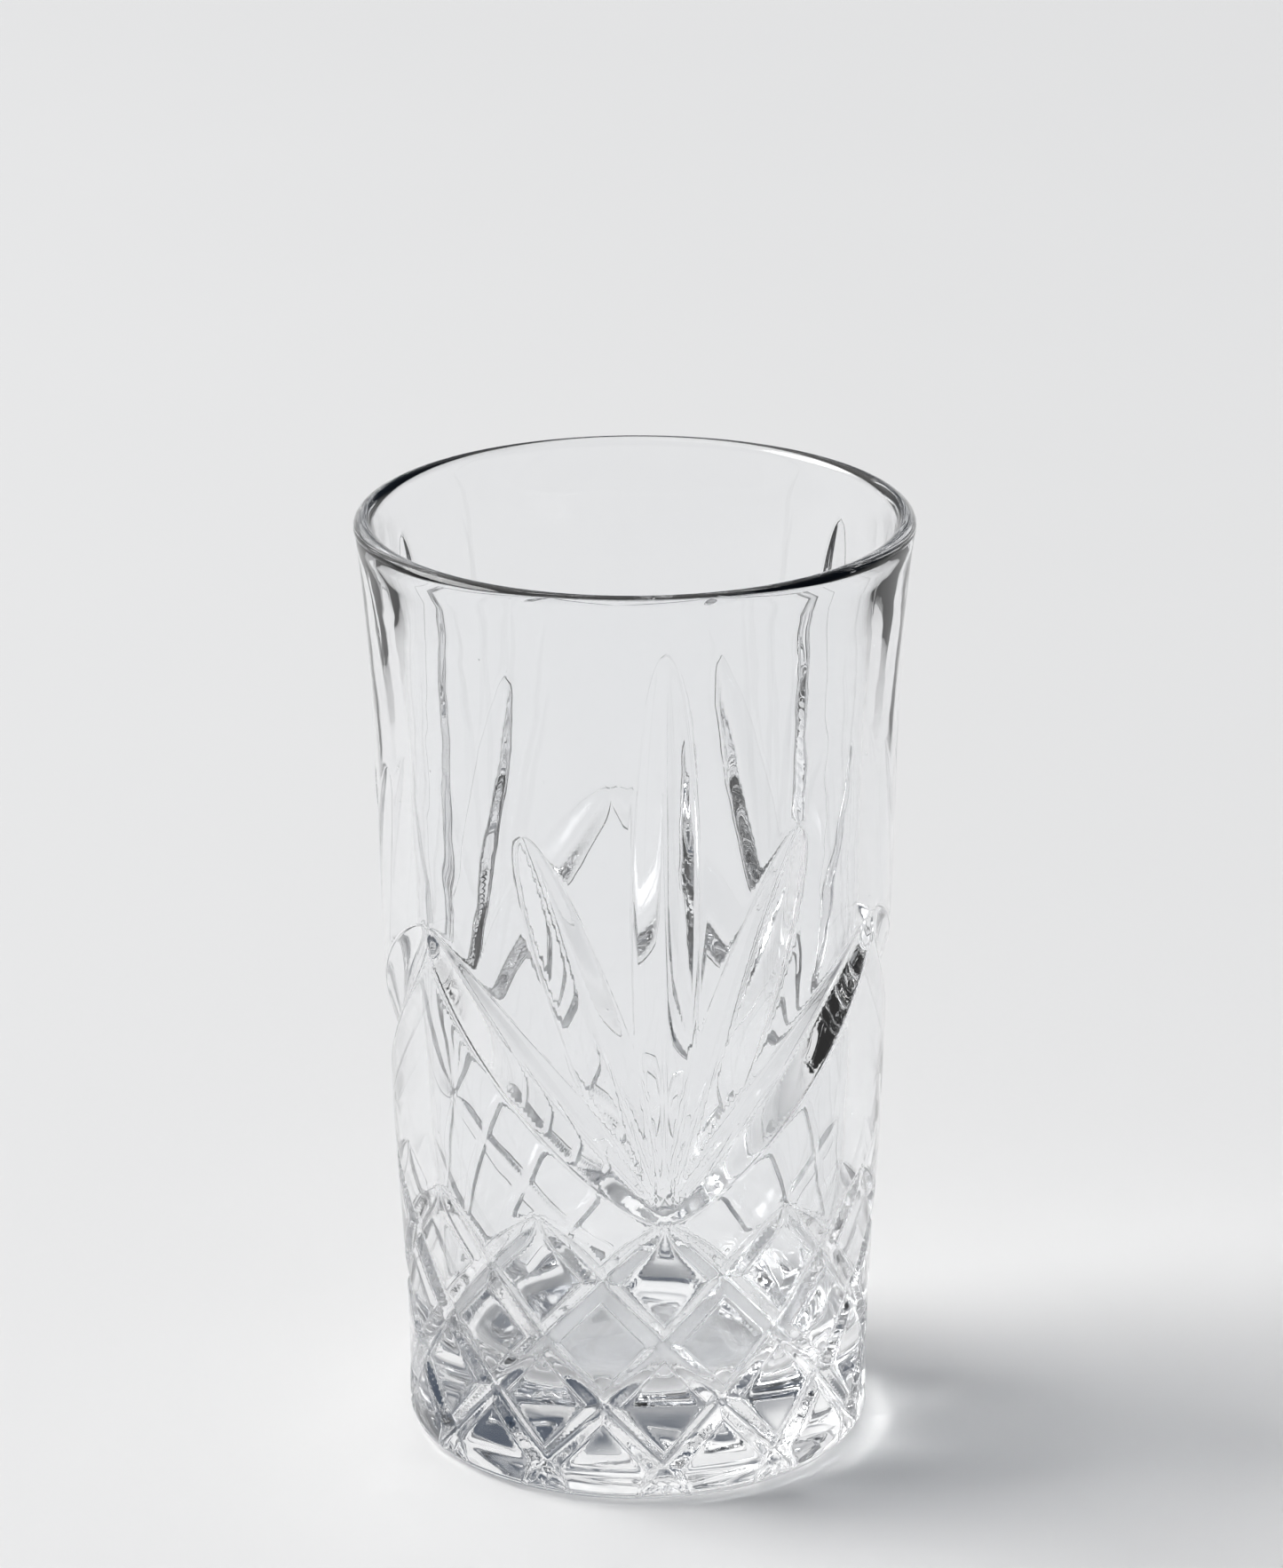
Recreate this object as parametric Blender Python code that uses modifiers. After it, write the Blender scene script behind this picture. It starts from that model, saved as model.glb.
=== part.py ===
"""Pressed clear-glass highball tumbler, one solid piece of glass, in metres, +Z up.

The bowl is one turned body: rounded rim, thick wall, heavy base.
Two patterns are pressed into its outside with V-section cutters:
a band of crossed grooves round the foot, and three fans of five leaf-shaped cuts above it.
One fan faces -Y.
"""

import bpy
import bmesh
from math import cos, pi, radians, sin, sqrt
from mathutils import Vector

# Overall sizes
HEIGHT = 0.141
RIM_RADIUS = 0.0405

# Outer wall: heights, how far below the top the flare and the waist are,
# and how far inside the rim's radius each of them lies
HEEL_HEIGHT = 0.012
SHOULDER_HEIGHT = 0.060
WAIST_DROP = 0.027
FLARE_DROP = 0.011
FLARE_INSET = 0.0013
WAIST_INSET = 0.0023
SHOULDER_INSET = 0.0040
BASE_INSET = 0.0062

# Rim, wall and base
RIM_THICKNESS = 0.0029
WAIST_WALL = 0.0046
BASE_WALL = 0.0056
FLOOR_HEIGHT = 0.0145
FLOOR_CORNER = 0.008
FOOT_ROUND = 0.0032
FOOT_RING = 0.0074
RECESS_DEPTH = 0.0012

# Crossed grooves round the foot
COLUMNS = 12
BAND_FOOT = 0.0055
ROW_PITCH = 0.0100
ROWS = 4
GROOVE_HALF_WIDTH = 0.0018
GROOVE_DEPTH = 0.00135
GROOVE_TAIL = 0.25
# the second set is cut a touch wider and deeper, so the valleys never cross at one point
SECOND_SET = 1.05

# Fans of leaf-shaped cuts: turn of each tip from the fan's middle in degrees,
# and how far the tip is below the top
FANS = 3
LEAF_HALF_WIDTH = 0.0049
LEAF_DEPTH = 0.0020
CENTRE_TURN = 0.0
CENTRE_DROP = 0.010
INNER_TURN = 31.5
INNER_DROP = 0.037
OUTER_TURN = 60.0
OUTER_DROP = 0.0555

# Mesh fineness
TURN_STEPS = 72
ROUND_STEPS = 4
LEAF_POINTS = 12
GROOVE_POINTS_PER_ROW = 2

# How far a cutter stands out of the wall, its width where it runs out,
# and how far it stops short of the point where cuts meet
CUTTER_PROUD = 0.0008
CUTTER_END = 0.06
LEAF_GAP = 0.03
GROOVE_GAP = 0.08
WELD_GAP = 0.00003

FRONT = -90.0

# Sizes that follow from the ones above
FLARE_HEIGHT = HEIGHT - FLARE_DROP
WAIST_HEIGHT = HEIGHT - WAIST_DROP
FLARE_RADIUS = RIM_RADIUS - FLARE_INSET
WAIST_RADIUS = RIM_RADIUS - WAIST_INSET
SHOULDER_RADIUS = RIM_RADIUS - SHOULDER_INSET
BASE_RADIUS = RIM_RADIUS - BASE_INSET
RECESS_RADIUS = BASE_RADIUS - FOOT_ROUND - FOOT_RING - RECESS_DEPTH
LATTICE_TOP = BAND_FOOT + ROWS * ROW_PITCH


def clear_scene():
    """Remove every object, mesh and curve the file starts with."""
    for obj in list(bpy.data.objects):
        bpy.data.objects.remove(obj, do_unlink=True)
    for mesh in list(bpy.data.meshes):
        bpy.data.meshes.remove(mesh)
    for curve in list(bpy.data.curves):
        bpy.data.curves.remove(curve)


def new_collection(name):
    """Make a collection under the scene's own."""
    collection = bpy.data.collections.new(name)
    bpy.context.scene.collection.children.link(collection)
    return collection


def glass_material():
    """Clear glass with a very faint cool tint."""
    material = bpy.data.materials.new("clear_glass")
    material.use_nodes = True
    shader = material.node_tree.nodes["Principled BSDF"]
    shader.inputs["Base Color"].default_value = (0.93, 0.96, 0.97, 1.0)
    shader.inputs["Roughness"].default_value = 0.02
    shader.inputs["Metallic"].default_value = 0.0
    shader.inputs["IOR"].default_value = 1.52
    shader.inputs["Transmission Weight"].default_value = 1.0
    material.diffuse_color = (0.80, 0.88, 0.92, 0.35)
    return material


def arc(centre_r, centre_z, radius, start, end, steps):
    """Points of an arc in the profile plane, angles in degrees from +r towards +z."""
    points = []
    for i in range(steps + 1):
        angle = radians(start + (end - start) * i / steps)
        points.append((centre_r + radius * cos(angle), centre_z + radius * sin(angle)))
    return points


def outer_stations():
    """Outer wall, top to bottom, as (radius, height)."""
    rim_round = RIM_THICKNESS / 2
    return [
        (RIM_RADIUS, HEIGHT - rim_round),
        (FLARE_RADIUS, FLARE_HEIGHT),
        (WAIST_RADIUS, WAIST_HEIGHT),
        (SHOULDER_RADIUS, SHOULDER_HEIGHT),
        (BASE_RADIUS, HEEL_HEIGHT),
    ]


def wall_radius(z):
    """Radius of the outer wall at a height."""
    stations = outer_stations()
    for (upper_r, upper_z), (lower_r, lower_z) in zip(stations, stations[1:]):
        if z >= lower_z:
            share = min(1.0, (z - lower_z) / (upper_z - lower_z))
            return lower_r + (upper_r - lower_r) * share
    return BASE_RADIUS


def glass_profile():
    """Whole section from the middle of the inside floor, over the rim, to the underside."""
    rim_round = RIM_THICKNESS / 2
    rim_centre = RIM_RADIUS - rim_round
    floor_wall_radius = wall_radius(FLOOR_HEIGHT) - BASE_WALL
    corner_centre = floor_wall_radius - FLOOR_CORNER
    points = [(0.0, FLOOR_HEIGHT)]
    points += arc(corner_centre, FLOOR_HEIGHT + FLOOR_CORNER, FLOOR_CORNER, -90, 0, ROUND_STEPS)
    points.append((SHOULDER_RADIUS - (BASE_WALL + WAIST_WALL) / 2, SHOULDER_HEIGHT))
    points.append((WAIST_RADIUS - WAIST_WALL, WAIST_HEIGHT))
    points.append((FLARE_RADIUS - (RIM_THICKNESS + WAIST_WALL) / 2, FLARE_HEIGHT))
    points += arc(rim_centre, HEIGHT - rim_round, rim_round, 180, 0, ROUND_STEPS)
    points += outer_stations()[1:]
    foot_centre = BASE_RADIUS - FOOT_ROUND
    points += arc(foot_centre, FOOT_ROUND, FOOT_ROUND, 0, -90, ROUND_STEPS)
    points.append((RECESS_RADIUS + RECESS_DEPTH, 0.0))
    points.append((RECESS_RADIUS, RECESS_DEPTH))
    points.append((0.0, RECESS_DEPTH))
    return points


def turned_body(name, points, collection):
    """Turn a profile about Z with a Screw modifier."""
    mesh = bpy.data.meshes.new(name)
    outline = bmesh.new()
    verts = [outline.verts.new((r, 0.0, z)) for r, z in points]
    for first, second in zip(verts, verts[1:]):
        outline.edges.new((first, second))
    outline.to_mesh(mesh)
    outline.free()
    body = bpy.data.objects.new(name, mesh)
    collection.objects.link(body)
    screw = body.modifiers.new("turn", 'SCREW')
    screw.axis = 'Z'
    screw.angle = 2 * pi
    screw.steps = TURN_STEPS
    screw.render_steps = TURN_STEPS
    screw.use_merge_vertices = True
    screw.merge_threshold = 0.00001
    screw.use_smooth_shade = False
    # half a step round, so that no cut meets another right on one of the body's edges
    body.rotation_euler.z = pi / TURN_STEPS
    return body


def on_wall(turn, z):
    """Point on the outer wall, turn in degrees counted round from the front."""
    angle = radians(FRONT + turn)
    radius = wall_radius(z)
    return Vector((radius * cos(angle), radius * sin(angle), z))


def v_section(name, half_width, depth, collection):
    """Closed triangle that a cutter curve carries along: its point goes into the glass."""
    spread = half_width * (depth + CUTTER_PROUD) / depth
    corners = [(-depth, 0.0), (CUTTER_PROUD, -spread), (CUTTER_PROUD, spread)]
    curve = bpy.data.curves.new(name, 'CURVE')
    curve.dimensions = '2D'
    curve.fill_mode = 'NONE'
    spline = curve.splines.new('POLY')
    spline.points.add(len(corners) - 1)
    for point, (x, y) in zip(spline.points, corners):
        point.co = (x, y, 0.0, 1.0)
    spline.use_cyclic_u = True
    section = bpy.data.objects.new(name, curve)
    collection.objects.link(section)
    section.hide_render = True
    return section


def add_path(curve, points, widths, tilt):
    """Add one cutter path with a width factor at every point."""
    spline = curve.splines.new('POLY')
    spline.points.add(len(points) - 1)
    for spline_point, place, width in zip(spline.points, points, widths):
        spline_point.co = (place.x, place.y, place.z, 1.0)
        spline_point.radius = width
        spline_point.tilt = tilt


def new_cutter_curve(name, section, collection):
    """Curve object that sweeps the V section, its flat side kept level with the wall."""
    curve = bpy.data.curves.new(name, 'CURVE')
    curve.dimensions = '3D'
    curve.twist_mode = 'Z_UP'
    curve.bevel_mode = 'OBJECT'
    curve.bevel_object = section
    curve.use_fill_caps = True
    cutter = bpy.data.objects.new(name, curve)
    collection.objects.link(cutter)
    return cutter


def groove_path(column, side, size):
    """One groove from the top of the band down past its last row, turning to one side."""
    points = []
    widths = []
    length = ROWS + GROOVE_TAIL - GROOVE_GAP
    count = int(length * GROOVE_POINTS_PER_ROW) + 1
    for i in range(count + 1):
        row = GROOVE_GAP + length * i / count
        turn = column * 360 / COLUMNS + side * row * 180 / COLUMNS
        points.append(on_wall(turn, LATTICE_TOP - row * ROW_PITCH))
        opening = min(1.0, (row - GROOVE_GAP) / 0.55)
        widths.append(max(CUTTER_END, size * sin(opening * pi / 2)))
    if side < 0:
        points.reverse()
        widths.reverse()
    return points, widths


def leaf_path(fan, turn_at_tip, tip_height, side):
    """One leaf-shaped cut from the foot of a fan up to the leaf's tip."""
    points = []
    widths = []
    middle = fan * 360 / FANS
    for i in range(LEAF_POINTS):
        share = LEAF_GAP + (1 - LEAF_GAP) * i / (LEAF_POINTS - 1)
        turn = middle + side * turn_at_tip * share
        points.append(on_wall(turn, LATTICE_TOP + (tip_height - LATTICE_TOP) * share))
        # an ellipse seen along its length: full width half way, closed at both ends
        opening = sqrt(max(0.0, 1 - (2 * i / (LEAF_POINTS - 1) - 1) ** 2))
        widths.append(max(CUTTER_END, opening))
    if side < 0:
        points.reverse()
        widths.reverse()
    return points, widths


def as_mesh_object(source, name, collection):
    """Turn a swept curve into a closed mesh object and drop the curve."""
    graph = bpy.context.evaluated_depsgraph_get()
    mesh = bpy.data.meshes.new_from_object(source.evaluated_get(graph))
    shape = bmesh.new()
    shape.from_mesh(mesh)
    bmesh.ops.remove_doubles(shape, verts=shape.verts, dist=0.000001)
    bmesh.ops.triangulate(shape, faces=shape.faces)
    bmesh.ops.recalc_face_normals(shape, faces=shape.faces)
    shape.to_mesh(mesh)
    shape.free()
    solid = bpy.data.objects.new(name, mesh)
    solid.matrix_world = source.matrix_world
    collection.objects.link(solid)
    bpy.data.objects.remove(source, do_unlink=True)
    solid.hide_render = True
    solid.display_type = 'WIRE'
    return solid


def cut(body, cutter):
    """Take a cutter away from the body."""
    boolean = body.modifiers.new(cutter.name, 'BOOLEAN')
    boolean.operation = 'DIFFERENCE'
    boolean.solver = 'EXACT'
    boolean.object = cutter


def groove_cutters(section, collection):
    """Both sets of crossed grooves, one cutter per direction."""
    cutters = []
    for name, side, size in (("grooves_right", 1, 1.0), ("grooves_left", -1, SECOND_SET)):
        sweep = new_cutter_curve(name + "_sweep", section, collection)
        for column in range(COLUMNS):
            points, widths = groove_path(column, side, size)
            add_path(sweep.data, points, widths, 0.0)
        cutters.append(as_mesh_object(sweep, name, collection))
    return cutters


def leaf_cutters(section, collection):
    """The leaf cuts, one cutter for each place in the fan."""
    kinds = [
        ("leaves_centre", CENTRE_TURN, CENTRE_DROP, 1, pi / 2),
        ("leaves_inner_right", INNER_TURN, INNER_DROP, 1, 0.0),
        ("leaves_inner_left", INNER_TURN, INNER_DROP, -1, 0.0),
        ("leaves_outer_right", OUTER_TURN, OUTER_DROP, 1, 0.0),
        ("leaves_outer_left", OUTER_TURN, OUTER_DROP, -1, 0.0),
    ]
    cutters = []
    for name, tip_turn, drop, side, tilt in kinds:
        sweep = new_cutter_curve(name + "_sweep", section, collection)
        for fan in range(FANS):
            points, widths = leaf_path(fan, tip_turn, HEIGHT - drop, side)
            add_path(sweep.data, points, widths, tilt)
        cutters.append(as_mesh_object(sweep, name, collection))
    return cutters


def build():
    """Make the tumbler and its cutters."""
    clear_scene()
    tumbler = new_collection("highball_tumbler")
    tools = new_collection("cutters")

    body = turned_body("glass_body", glass_profile(), tumbler)
    body.data.materials.append(glass_material())

    groove_section = v_section("groove_section", GROOVE_HALF_WIDTH, GROOVE_DEPTH, tools)
    leaf_section = v_section("leaf_section", LEAF_HALF_WIDTH, LEAF_DEPTH, tools)
    cutters = leaf_cutters(leaf_section, tools)
    cutters += groove_cutters(groove_section, tools)
    for section in (groove_section, leaf_section):
        bpy.data.objects.remove(section, do_unlink=True)
    for cutter in cutters:
        cut(body, cutter)
    weld = body.modifiers.new("weld", 'WELD')
    weld.merge_threshold = WELD_GAP


build()
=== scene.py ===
from math import cos, pi, radians, sin

import bpy
import numpy as np
from mathutils import Matrix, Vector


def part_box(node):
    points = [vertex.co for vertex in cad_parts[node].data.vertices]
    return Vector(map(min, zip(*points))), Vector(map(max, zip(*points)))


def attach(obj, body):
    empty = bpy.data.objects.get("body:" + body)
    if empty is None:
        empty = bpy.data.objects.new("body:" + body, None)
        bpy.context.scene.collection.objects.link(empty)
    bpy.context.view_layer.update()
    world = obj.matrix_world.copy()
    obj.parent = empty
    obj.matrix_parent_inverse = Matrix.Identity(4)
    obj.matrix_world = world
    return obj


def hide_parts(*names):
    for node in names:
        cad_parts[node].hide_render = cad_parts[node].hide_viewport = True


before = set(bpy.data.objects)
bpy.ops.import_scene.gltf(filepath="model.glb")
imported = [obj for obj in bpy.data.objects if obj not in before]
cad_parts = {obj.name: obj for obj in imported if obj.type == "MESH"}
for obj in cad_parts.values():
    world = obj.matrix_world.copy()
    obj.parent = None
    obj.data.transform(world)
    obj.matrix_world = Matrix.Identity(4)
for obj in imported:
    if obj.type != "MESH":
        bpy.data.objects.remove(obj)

cadLow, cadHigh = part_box("glass_body")
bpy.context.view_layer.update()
mm = 0.001


def letGo():
    # nothing selected and nothing in edit mode before a new piece is started
    if bpy.context.object and bpy.context.object.mode != 'OBJECT':
        bpy.ops.object.mode_set(mode='OBJECT')
    bpy.ops.object.select_all(action='DESELECT')


def workOn(piece):
    letGo()
    bpy.context.view_layer.objects.active = piece
    piece.select_set(True)


def smoothCurve(points):
    # a soft curve through (place, value) points, as a function of place
    places = np.array([p for p, v in points])
    values = np.array([v for p, v in points])
    slopes = np.gradient(values, places)

    def at(place):
        place = np.clip(place, places[0], places[-1])
        part = np.clip(np.searchsorted(places, place) - 1, 0, len(places) - 2)
        span = places[part + 1] - places[part]
        t = (place - places[part]) / span
        return ((1 + 2 * t) * (1 - t) ** 2 * values[part] + t * (1 - t) ** 2 * span * slopes[part]
                + t * t * (3 - 2 * t) * values[part + 1] - t * t * (1 - t) * span * slopes[part + 1])
    return at


bowl = {
    "height": cadHigh.z,
    "rimRadius": cadHigh.x,
    "rimWall": 2.9 * mm,
    "outside": [(0, 34.35), (15, 34.3), (30, 35.0), (45, 35.9), (60, 36.5), (75, 37.1),
                (95, 37.8), (114, 38.3), (128, 39.15), (136, 39.95)],   # height, radius in mm
    "wall": [(14, 5.7), (60, 5.1), (114, 4.6), (130, 3.8), (137, 3.1)],  # height, wall in mm
    "floorHeight": 14.5 * mm,
    "floorCorner": 8.0 * mm,
    "footRound": 3.2 * mm,
    "recessRadius": 22.5 * mm,
    "recessDepth": 1.2 * mm,
    "columns": 360,
    "bandRow": 2 / 3 * mm,      # one row per column keeps the crossed grooves on the diagonals
    "leafRow": 0.8 * mm,
    "plainRow": 1.2 * mm,
    "insideRow": 4.0 * mm,
    "plainEnd": 132 * mm,       # plain rows above this height, leaf rows below it
    "leafEnd": 85.5 * mm,       # leaf rows down to here, band rows below it
    "cornerSteps": 10,
    "rimSteps": 14,
    "footSteps": 9,
}

rimRound = bowl["rimWall"] / 2
rimCentreZ = bowl["height"] - rimRound
outsideRadius = smoothCurve([(z * mm, r * mm) for z, r in bowl["outside"]]
                            + [(rimCentreZ, bowl["rimRadius"])])
wallThickness = smoothCurve([(z * mm, w * mm) for z, w in bowl["wall"]]
                            + [(rimCentreZ, bowl["rimWall"])])


def insideRadius(z):
    return outsideRadius(z) - wallThickness(z)


def arcPoints(centreR, centreZ, radius, start, end, steps):
    angles = [radians(start + (end - start) * i / steps) for i in range(steps + 1)]
    return [(centreR + radius * cos(a), centreZ + radius * sin(a)) for a in angles]


# where the pattern sits, needed for the rows of the wall too
press = {
    "columns": 12,
    "bandTop": 45.5 * mm,
    "rowPitch": 10.0 * mm,
    "rows": 4,
    "grooveHalf": 1.8 * mm,
    "grooveDepth": 1.35 * mm,
    # bottom, top and half width in mm of the short cut under each lowest crossing
    "notch": (1.6, 6.8, 1.0),
    "fans": 3,
    "leafHalf": 4.9 * mm,
    "leafSlope": 0.50,
    "leafValley": 0.5 * mm,         # how wide the bottom of a leaf is rounded
    # turn in degrees and height in mm of each leaf's tip
    "leaves": [(0.0, 132.5), (31.5, 104.0), (60.0, 85.5)],
    "soft": 0.20 * mm,              # how wide the other cuts are rounded
    "top": 134 * mm,                # nothing is pressed above this height
    "bottom": 0.2 * mm,
}


def rowsBetween(top, bottom, step):
    count = max(1, round((top - bottom) / step))
    return [top - (top - bottom) * i / count for i in range(count)]


def bowlProfile():
    # from the middle of the floor inside, over the rim and down to the middle underneath
    corner = bowl["floorCorner"]
    floorZ = bowl["floorHeight"]
    cornerR = float(insideRadius(floorZ + corner)) - corner
    points = [(0.0, floorZ - 0.3 * mm), (cornerR / 2, floorZ - 0.2 * mm)]
    points += arcPoints(cornerR, floorZ + corner, corner, -90, 0, bowl["cornerSteps"])
    inside = rowsBetween(rimCentreZ, floorZ + corner, bowl["insideRow"])[:0:-1]
    points += [(float(insideRadius(z)), z) for z in inside]
    points += arcPoints(bowl["rimRadius"] - rimRound, rimCentreZ, rimRound, 180, 0, bowl["rimSteps"])
    footRound = bowl["footRound"]
    rows = rowsBetween(rimCentreZ, bowl["plainEnd"], bowl["plainRow"])[1:]
    rows += rowsBetween(bowl["plainEnd"], bowl["leafEnd"], bowl["leafRow"])
    rows += rowsBetween(bowl["leafEnd"], footRound, bowl["bandRow"]) + [footRound]
    points += [(float(outsideRadius(z)), z) for z in rows]
    footR = float(outsideRadius(footRound)) - footRound
    points += arcPoints(footR, footRound, footRound, 0, -90, bowl["footSteps"])
    points += [(bowl["recessRadius"] + 1.2 * mm, 0.0), (bowl["recessRadius"], 0.5 * mm),
               (bowl["recessRadius"] * 0.8, bowl["recessDepth"]), (0.0, bowl["recessDepth"])]
    return points


def turnBowl():
    points = bowlProfile()
    letGo()
    firstR, firstZ = points[0]
    bpy.ops.mesh.primitive_plane_add(size=mm, location=(0, -firstR, firstZ))
    glass = bpy.context.object
    glass.name = "pressed_glass"
    bpy.ops.object.transform_apply(location=True)
    bpy.ops.object.mode_set(mode='EDIT')
    bpy.ops.mesh.select_all(action='SELECT')
    bpy.ops.mesh.merge(type='CENTER')
    for (fromR, fromZ), (toR, toZ) in zip(points, points[1:]):
        bpy.ops.mesh.extrude_region_move(TRANSFORM_OT_translate={"value": (0, fromR - toR, toZ - fromZ)})
    bpy.ops.mesh.select_all(action='SELECT')
    bpy.ops.mesh.spin(steps=bowl["columns"], angle=2 * pi, center=(0, 0, 0), axis=(0, 0, 1))
    bpy.ops.mesh.select_all(action='SELECT')
    bpy.ops.mesh.remove_doubles(threshold=0.001 * mm)
    bpy.ops.mesh.normals_make_consistent(inside=False)
    bpy.ops.mesh.select_all(action='DESELECT')
    bpy.ops.object.mode_set(mode='OBJECT')
    return glass


def softMax(a, b):
    return 0.5 * (a + b + np.hypot(a - b, press["soft"] * 0.5))


def cutOf(slope, half, across, valley):
    # how deep a V cut is, with its valley rounded, and how far inside its edge
    return slope * (half - np.hypot(across, valley * 0.5)), half - across


def grooveCut(turn, z, radius, side):
    # one set of parallel grooves, turn is in degrees from the middle of a fan
    step = 360 / press["columns"]
    row = (press["bandTop"] - z) / press["rowPitch"]
    off = (turn - side * row * step / 2 + step / 2) % step - step / 2
    lean = np.sin(np.arctan2(press["rowPitch"], radius * radians(step / 2)))
    across = np.abs(off) * np.pi / 180 * radius * lean
    opening = np.where(row < 0, row * 4, np.sin(np.clip(row / 0.55, 0, 1) * np.pi / 2))
    closing = np.clip((press["rows"] + 0.45 - row) / 0.45, -4, 1)
    half = press["grooveHalf"] * np.minimum(opening, closing)
    return cutOf(press["grooveDepth"] / press["grooveHalf"], half, across, press["soft"])


def notchCut(turn, z, radius):
    low, high, half = press["notch"]
    step = 360 / press["columns"]
    off = (turn + step / 2) % step - step / 2
    across = np.abs(np.radians(off)) * radius
    opening = np.minimum(np.clip((z / mm - low) / 2.0, -1, 1), np.clip(high - z / mm, -1, 1))
    return cutOf(press["grooveDepth"] / press["grooveHalf"], half * mm * opening, across, press["soft"])


def leafCut(turn, z, radius, tipTurn, tipHeight, side):
    # one leaf in every fan
    step = 360 / press["fans"]
    rise = tipHeight * mm - press["bandTop"]
    along = np.radians(tipTurn) * radius
    length = np.hypot(along, rise)
    deepest, inside = -1.0, -1.0
    for wrap in (-1, 0, 1):
        local = side * ((turn + step / 2) % step - step / 2) + wrap * step
        x = np.radians(local) * radius
        y = z - press["bandTop"]
        share = (x * along + y * rise) / length ** 2
        across = np.abs(x * rise - y * along) / length
        bend = 1 - (2 * np.clip(share, -0.5, 1.5) - 1) ** 2
        half = press["leafHalf"] * np.sign(bend) * np.sqrt(np.abs(bend))
        depth, within = cutOf(press["leafSlope"], half, across, press["leafValley"])
        deepest = np.maximum(deepest, depth)
        inside = np.maximum(inside, within)
    return deepest, inside


def patternAt(turn, z, radius):
    # depth of the pressing, distance inside the edge of a cut, and whether the cut falls to the right
    rightCuts = [grooveCut(turn, z, radius, 1)]
    leftCuts = [grooveCut(turn, z, radius, -1)]
    uprightCuts = [notchCut(turn, z, radius)]
    for tipTurn, tipHeight in press["leaves"]:
        if tipTurn == 0:
            uprightCuts.append(leafCut(turn, z, radius, tipTurn, tipHeight, 1))
        else:
            # a leaf that leans right rises to the right, a groove of side 1 falls to the right
            leftCuts.append(leafCut(turn, z, radius, tipTurn, tipHeight, 1))
            rightCuts.append(leafCut(turn, z, radius, tipTurn, tipHeight, -1))
    depth = np.zeros(turn.shape)
    rest = np.zeros(1)
    for layer in (uprightCuts, rightCuts, leftCuts):
        depth = softMax(depth, np.max([cut[0] for cut in layer], axis=0))
        rest = softMax(rest, np.full(1, -1.0))
    edge = np.max([cut[1] for cut in rightCuts + leftCuts + uprightCuts], axis=0)
    right = np.max([cut[0] for cut in rightCuts], axis=0)
    left = np.max([cut[0] for cut in leftCuts], axis=0)
    return np.maximum(depth - rest[0], 0), edge, right > left


def placesOf(data, count, name="co"):
    values = np.empty(count * 3, np.float32)
    data.foreach_get(name, values)
    return values.reshape(-1, 3).astype(float)


def pressPattern(glass):
    mesh = glass.data
    places = placesOf(mesh.vertices, len(mesh.vertices))
    radius = np.hypot(places[:, 0], places[:, 1])
    z = places[:, 2]
    turn = np.degrees(np.arctan2(places[:, 0], -places[:, 1]))
    onOutside = (radius > outsideRadius(z) - 0.8 * mm) | (z < bowl["footRound"])
    onOutside &= (z < press["top"]) & (z > press["bottom"]) & (radius > bowl["rimRadius"] / 2)
    depth, edge = patternAt(turn, z, radius)[:2]
    depth = np.where(onOutside, depth, 0)
    # how far each point lies inside a cut's edge, in mm, for the material
    lips = mesh.attributes.new("cutEdge", 'FLOAT', 'POINT')
    lips.data.foreach_set("value", np.where(onOutside, edge / mm, -5).astype(np.float32))
    deepest = depth.max()
    pressed = glass.vertex_groups.new(name="pressed")
    for i in np.nonzero(depth > 1e-7)[0]:
        pressed.add([int(i)], float(depth[i] / deepest), 'REPLACE')
    workOn(glass)
    push = glass.modifiers.new("press", 'DISPLACE')
    push.direction = 'NORMAL'
    push.mid_level = 0
    push.strength = -deepest
    push.vertex_group = "pressed"
    bpy.ops.object.modifier_apply(modifier="press")
    print("pattern pressed, deepest cut", round(deepest / mm, 2), "mm")


def fallingRight(mesh):
    # for every face, whether the cut that it lies in falls to the right
    centres = placesOf(mesh.polygons, len(mesh.polygons), "center")
    turn = np.degrees(np.arctan2(centres[:, 0], -centres[:, 1]))
    return patternAt(turn, centres[:, 2], np.hypot(centres[:, 0], centres[:, 1]))[2]


def splitAlongGrooves(glass):
    # every quad is split along the cut that it lies in, so the valleys and edges run straight
    mesh = glass.data
    for wanted, method in ((True, 'FIXED'), (False, 'FIXED_ALTERNATE')):
        for part in (mesh.vertices, mesh.edges):
            part.foreach_set("select", np.zeros(len(part), bool))
        mesh.polygons.foreach_set("select", fallingRight(mesh) == wanted)
        workOn(glass)
        bpy.ops.object.mode_set(mode='EDIT')
        bpy.ops.mesh.select_mode(type='FACE')
        bpy.ops.mesh.quads_convert_to_tris(quad_method=method, ngon_method='BEAUTY')
        bpy.ops.mesh.select_all(action='DESELECT')
        bpy.ops.object.mode_set(mode='OBJECT')


finish = {
    "tint": (0.981, 0.986, 0.992, 1),
    "refraction": 1.52,
    "rippleSize": 45,        # per metre
    "rippleDetail": 2.5,
    "rippleRoughness": 0.42,
    "rippleHeight": 0.20 * mm,
    "pitSize": 150,          # cells per metre
    "pitHeight": 0.05 * mm,
    "pitShare": 0.03,
    "lipWidth": 0.28,        # mm to each side of a cut's edge
    "lipHeight": 0.09 * mm,
    "wearSize": 90,          # per metre
    "wear": (0.0, 0.035),    # roughness of the clean and of the handled glass
}


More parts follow.
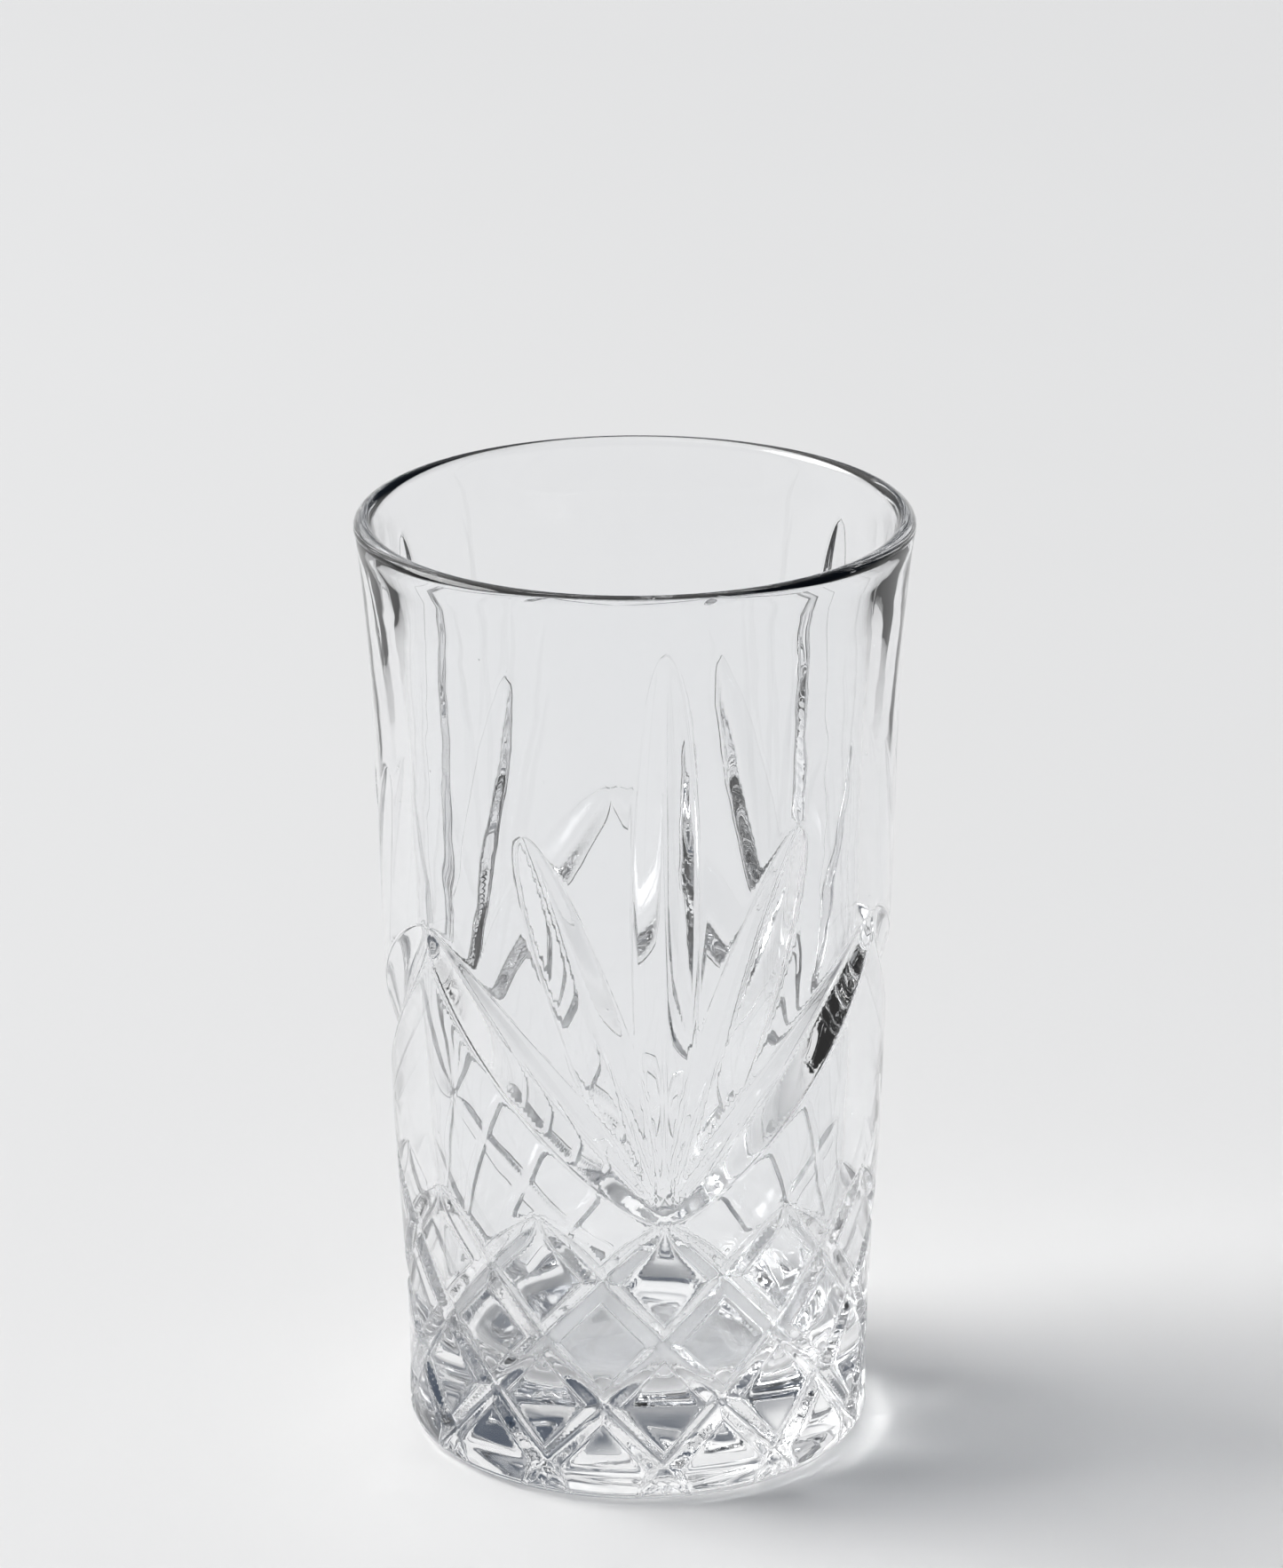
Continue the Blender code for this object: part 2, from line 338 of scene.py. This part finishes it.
def clearGlass():
    material = bpy.data.materials.new("clear_glass")
    material.use_nodes = True
    nodes = material.node_tree.nodes
    links = material.node_tree.links
    shader = nodes["Principled BSDF"]
    shader.inputs["Base Color"].default_value = finish["tint"]
    shader.inputs["IOR"].default_value = finish["refraction"]
    shader.inputs["Transmission Weight"].default_value = 1.0
    coordinates = nodes.new("ShaderNodeTexCoord")

    ripple = nodes.new("ShaderNodeTexNoise")       # the slow waves that a mould leaves in glass
    ripple.inputs["Scale"].default_value = finish["rippleSize"]
    ripple.inputs["Detail"].default_value = finish["rippleDetail"]
    ripple.inputs["Roughness"].default_value = finish["rippleRoughness"]
    links.new(coordinates.outputs["Object"], ripple.inputs["Vector"])
    waves = nodes.new("ShaderNodeBump")
    waves.inputs["Distance"].default_value = finish["rippleHeight"]
    links.new(ripple.outputs["Fac"], waves.inputs["Height"])

    cells = nodes.new("ShaderNodeTexVoronoi")      # seeds and pits, a few here and there
    cells.inputs["Scale"].default_value = finish["pitSize"]
    links.new(coordinates.outputs["Object"], cells.inputs["Vector"])
    dot = nodes.new("ShaderNodeMapRange")
    dot.inputs["From Min"].default_value = 0.0
    dot.inputs["From Max"].default_value = finish["pitShare"]
    dot.inputs["To Min"].default_value = 0.0
    dot.inputs["To Max"].default_value = 1.0
    links.new(cells.outputs["Distance"], dot.inputs["Value"])
    pits = nodes.new("ShaderNodeBump")
    pits.inputs["Distance"].default_value = finish["pitHeight"]
    links.new(dot.outputs["Result"], pits.inputs["Height"])
    links.new(waves.outputs["Normal"], pits.inputs["Normal"])

    # the crisp lip along every cut
    distance = nodes.new("ShaderNodeAttribute")
    distance.attribute_name = "cutEdge"
    near = nodes.new("ShaderNodeMath")
    near.operation = 'ABSOLUTE'
    links.new(distance.outputs["Fac"], near.inputs[0])
    lip = nodes.new("ShaderNodeMapRange")
    lip.interpolation_type = 'SMOOTHSTEP'
    lip.inputs["From Max"].default_value = finish["lipWidth"]
    lip.inputs["To Min"].default_value = 1.0
    lip.inputs["To Max"].default_value = 0.0
    links.new(near.outputs[0], lip.inputs["Value"])
    crisp = nodes.new("ShaderNodeBump")
    crisp.inputs["Distance"].default_value = finish["lipHeight"]
    links.new(lip.outputs["Result"], crisp.inputs["Height"])
    links.new(pits.outputs["Normal"], crisp.inputs["Normal"])
    links.new(crisp.outputs["Normal"], shader.inputs["Normal"])

    haze = nodes.new("ShaderNodeTexNoise")         # handling wear, hardly there
    haze.inputs["Scale"].default_value = finish["wearSize"]
    haze.inputs["Detail"].default_value = 4.0
    links.new(coordinates.outputs["Object"], haze.inputs["Vector"])
    wear = nodes.new("ShaderNodeMapRange")
    wear.inputs["From Min"].default_value = 0.5
    wear.inputs["From Max"].default_value = 0.8
    wear.inputs["To Min"].default_value, wear.inputs["To Max"].default_value = finish["wear"]
    links.new(haze.outputs["Fac"], wear.inputs["Value"])
    links.new(wear.outputs["Result"], shader.inputs["Roughness"])
    return material


glass = turnBowl()
print("bowl turned,", len(glass.data.polygons), "faces")
pressPattern(glass)
splitAlongGrooves(glass)
workOn(glass)
bpy.ops.object.shade_smooth()
glass.data.materials.append(clearGlass())
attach(glass, "root")
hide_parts("glass_body")
print("glass done,", len(glass.data.polygons), "faces")


studio = {
    "floorSize": 40.0,
    "floorDrop": 0.0001,            # a hair below the foot, so the two faces don't meet in one plane
    "floorColor": (0.802, 0.796, 0.788, 1),
    "paperShade": 0.98,             # the darkest of the paper's faint clouds
    "paperClouds": 6.0,             # per metre
    "paperTooth": 900.0,
    "toothHeight": 0.05 * mm,
    "sweep": (0.06, 0.34),          # how high the pale sweep starts and ends to fade into the room
    "horizon": (0.66, 0.66, 0.66, 1),
    "room": (0.055, 0.073, 0.105, 1),
    "softBox": (1.06, 1.06, 1.055, 1),
    "softBoxToward": (-0.36, 0.42, 0.83),
    "softBoxEdge": (0.62, 0.88),    # cosines from its middle where it starts and where it is full
    "windowPower": 12.0,
    "windowPlace": (-1.55, 0.44, 1.32),
    "windowSize": (1.5, 1.3),
    "dayStrength": 1.95,            # far light from the same side, even over the whole floor
    "dayAngle": 38,
}


def paleFloor():
    letGo()
    bpy.ops.mesh.primitive_plane_add(size=studio["floorSize"], location=(0, 0, -studio["floorDrop"]))
    floor = bpy.context.object
    floor.name = "floor"
    bpy.ops.object.transform_apply(location=True)
    material = bpy.data.materials.new("pale_floor")
    material.use_nodes = True
    nodes = material.node_tree.nodes
    links = material.node_tree.links
    shader = nodes["Principled BSDF"]
    shader.inputs["Roughness"].default_value = 0.9
    shader.inputs["Specular IOR Level"].default_value = 0.1
    # matt paper: a faint cloudiness in its colour and a fine tooth
    coordinates = nodes.new("ShaderNodeTexCoord")
    clouds = nodes.new("ShaderNodeTexNoise")
    clouds.inputs["Scale"].default_value = studio["paperClouds"]
    clouds.inputs["Detail"].default_value = 3.0
    links.new(coordinates.outputs["Object"], clouds.inputs["Vector"])
    color = nodes.new("ShaderNodeMix")
    color.data_type = 'RGBA'
    shaded = [value * studio["paperShade"] for value in studio["floorColor"][:3]]
    color.inputs[6].default_value = shaded + [1]
    color.inputs[7].default_value = studio["floorColor"]
    links.new(clouds.outputs["Fac"], color.inputs["Factor"])
    links.new(color.outputs[2], shader.inputs["Base Color"])
    tooth = nodes.new("ShaderNodeTexNoise")
    tooth.inputs["Scale"].default_value = studio["paperTooth"]
    links.new(coordinates.outputs["Object"], tooth.inputs["Vector"])
    grain = nodes.new("ShaderNodeBump")
    grain.inputs["Strength"].default_value = 0.15
    grain.inputs["Distance"].default_value = studio["toothHeight"]
    links.new(tooth.outputs["Fac"], grain.inputs["Height"])
    links.new(grain.outputs["Normal"], shader.inputs["Normal"])
    floor.data.materials.append(material)
    return floor


def softSky():
    # a dim room with a pale sweep low down and one wide soft box high on the left
    world = bpy.data.worlds.new("studio")
    bpy.context.scene.world = world
    world.use_nodes = True
    nodes = world.node_tree.nodes
    links = world.node_tree.links
    background = nodes["Background"]
    coordinates = nodes.new("ShaderNodeTexCoord")
    split = nodes.new("ShaderNodeSeparateXYZ")
    ramp = nodes.new("ShaderNodeValToRGB")
    links.new(coordinates.outputs["Generated"], split.inputs[0])
    links.new(split.outputs["Z"], ramp.inputs[0])
    ramp.color_ramp.elements[0].position = studio["sweep"][0]
    ramp.color_ramp.elements[0].color = studio["horizon"]
    ramp.color_ramp.elements[1].position = studio["sweep"][1]
    ramp.color_ramp.elements[1].color = studio["room"]
    toward = nodes.new("ShaderNodeVectorMath")
    toward.operation = 'DOT_PRODUCT'
    toward.inputs[1].default_value = studio["softBoxToward"]
    links.new(coordinates.outputs["Generated"], toward.inputs[0])
    edge = nodes.new("ShaderNodeMapRange")
    edge.interpolation_type = 'SMOOTHSTEP'
    edge.inputs["From Min"].default_value, edge.inputs["From Max"].default_value = studio["softBoxEdge"]
    links.new(toward.outputs["Value"], edge.inputs["Value"])
    mix = nodes.new("ShaderNodeMix")
    mix.data_type = 'RGBA'
    links.new(edge.outputs["Result"], mix.inputs["Factor"])
    links.new(ramp.outputs["Color"], mix.inputs[6])
    mix.inputs[7].default_value = studio["softBox"]
    links.new(mix.outputs[2], background.inputs["Color"])


def addWindow():
    light = bpy.data.lights.new("window", 'AREA')
    light.energy = studio["windowPower"]
    light.shape = 'RECTANGLE'
    light.size, light.size_y = studio["windowSize"]
    window = bpy.data.objects.new("window", light)
    bpy.context.scene.collection.objects.link(window)
    window.location = studio["windowPlace"]
    window.rotation_euler = (-window.location).to_track_quat('-Z', 'Y').to_euler()
    window.visible_camera = False
    day = bpy.data.lights.new("day", 'SUN')
    day.energy = studio["dayStrength"]
    day.angle = radians(studio["dayAngle"])
    sun = bpy.data.objects.new("day", day)
    bpy.context.scene.collection.objects.link(sun)
    sun.rotation_euler = window.rotation_euler


def addCamera():
    shot = {"distance": 0.904, "height": 0.420, "turn": -6.31, "yaw": -0.052,
            "down": 19.513, "roll": -0.22, "lens": 151.04}
    data = bpy.data.cameras.new("camera")
    data.lens = shot["lens"]
    data.sensor_width = 36
    data.clip_start = 0.05
    data.clip_end = 60
    camera = bpy.data.objects.new("camera", data)
    bpy.context.scene.collection.objects.link(camera)
    turn = radians(shot["turn"])
    camera.location = (shot["distance"] * sin(turn), -shot["distance"] * cos(turn), shot["height"])
    # rolled about its own line of sight first, then tilted, then turned
    aim = (Matrix.Rotation(radians(shot["turn"] + shot["yaw"]), 3, 'Z')
           @ Matrix.Rotation(radians(90 - shot["down"]), 3, 'X')
           @ Matrix.Rotation(radians(shot["roll"]), 3, 'Z'))
    camera.rotation_euler = aim.to_euler()
    bpy.context.scene.camera = camera
    return camera


paleFloor()
softSky()
addWindow()
addCamera()

scene = bpy.context.scene
scene.view_settings.view_transform = 'Standard'
scene.cycles.max_bounces = 12       # light caught in the wall for longer than this is taken as lost
scene.cycles.transmission_bounces = 12
scene.cycles.glossy_bounces = 12
scene.cycles.blur_glossy = 0        # light has to reach the floor through the glass unblurred
print("studio ready")
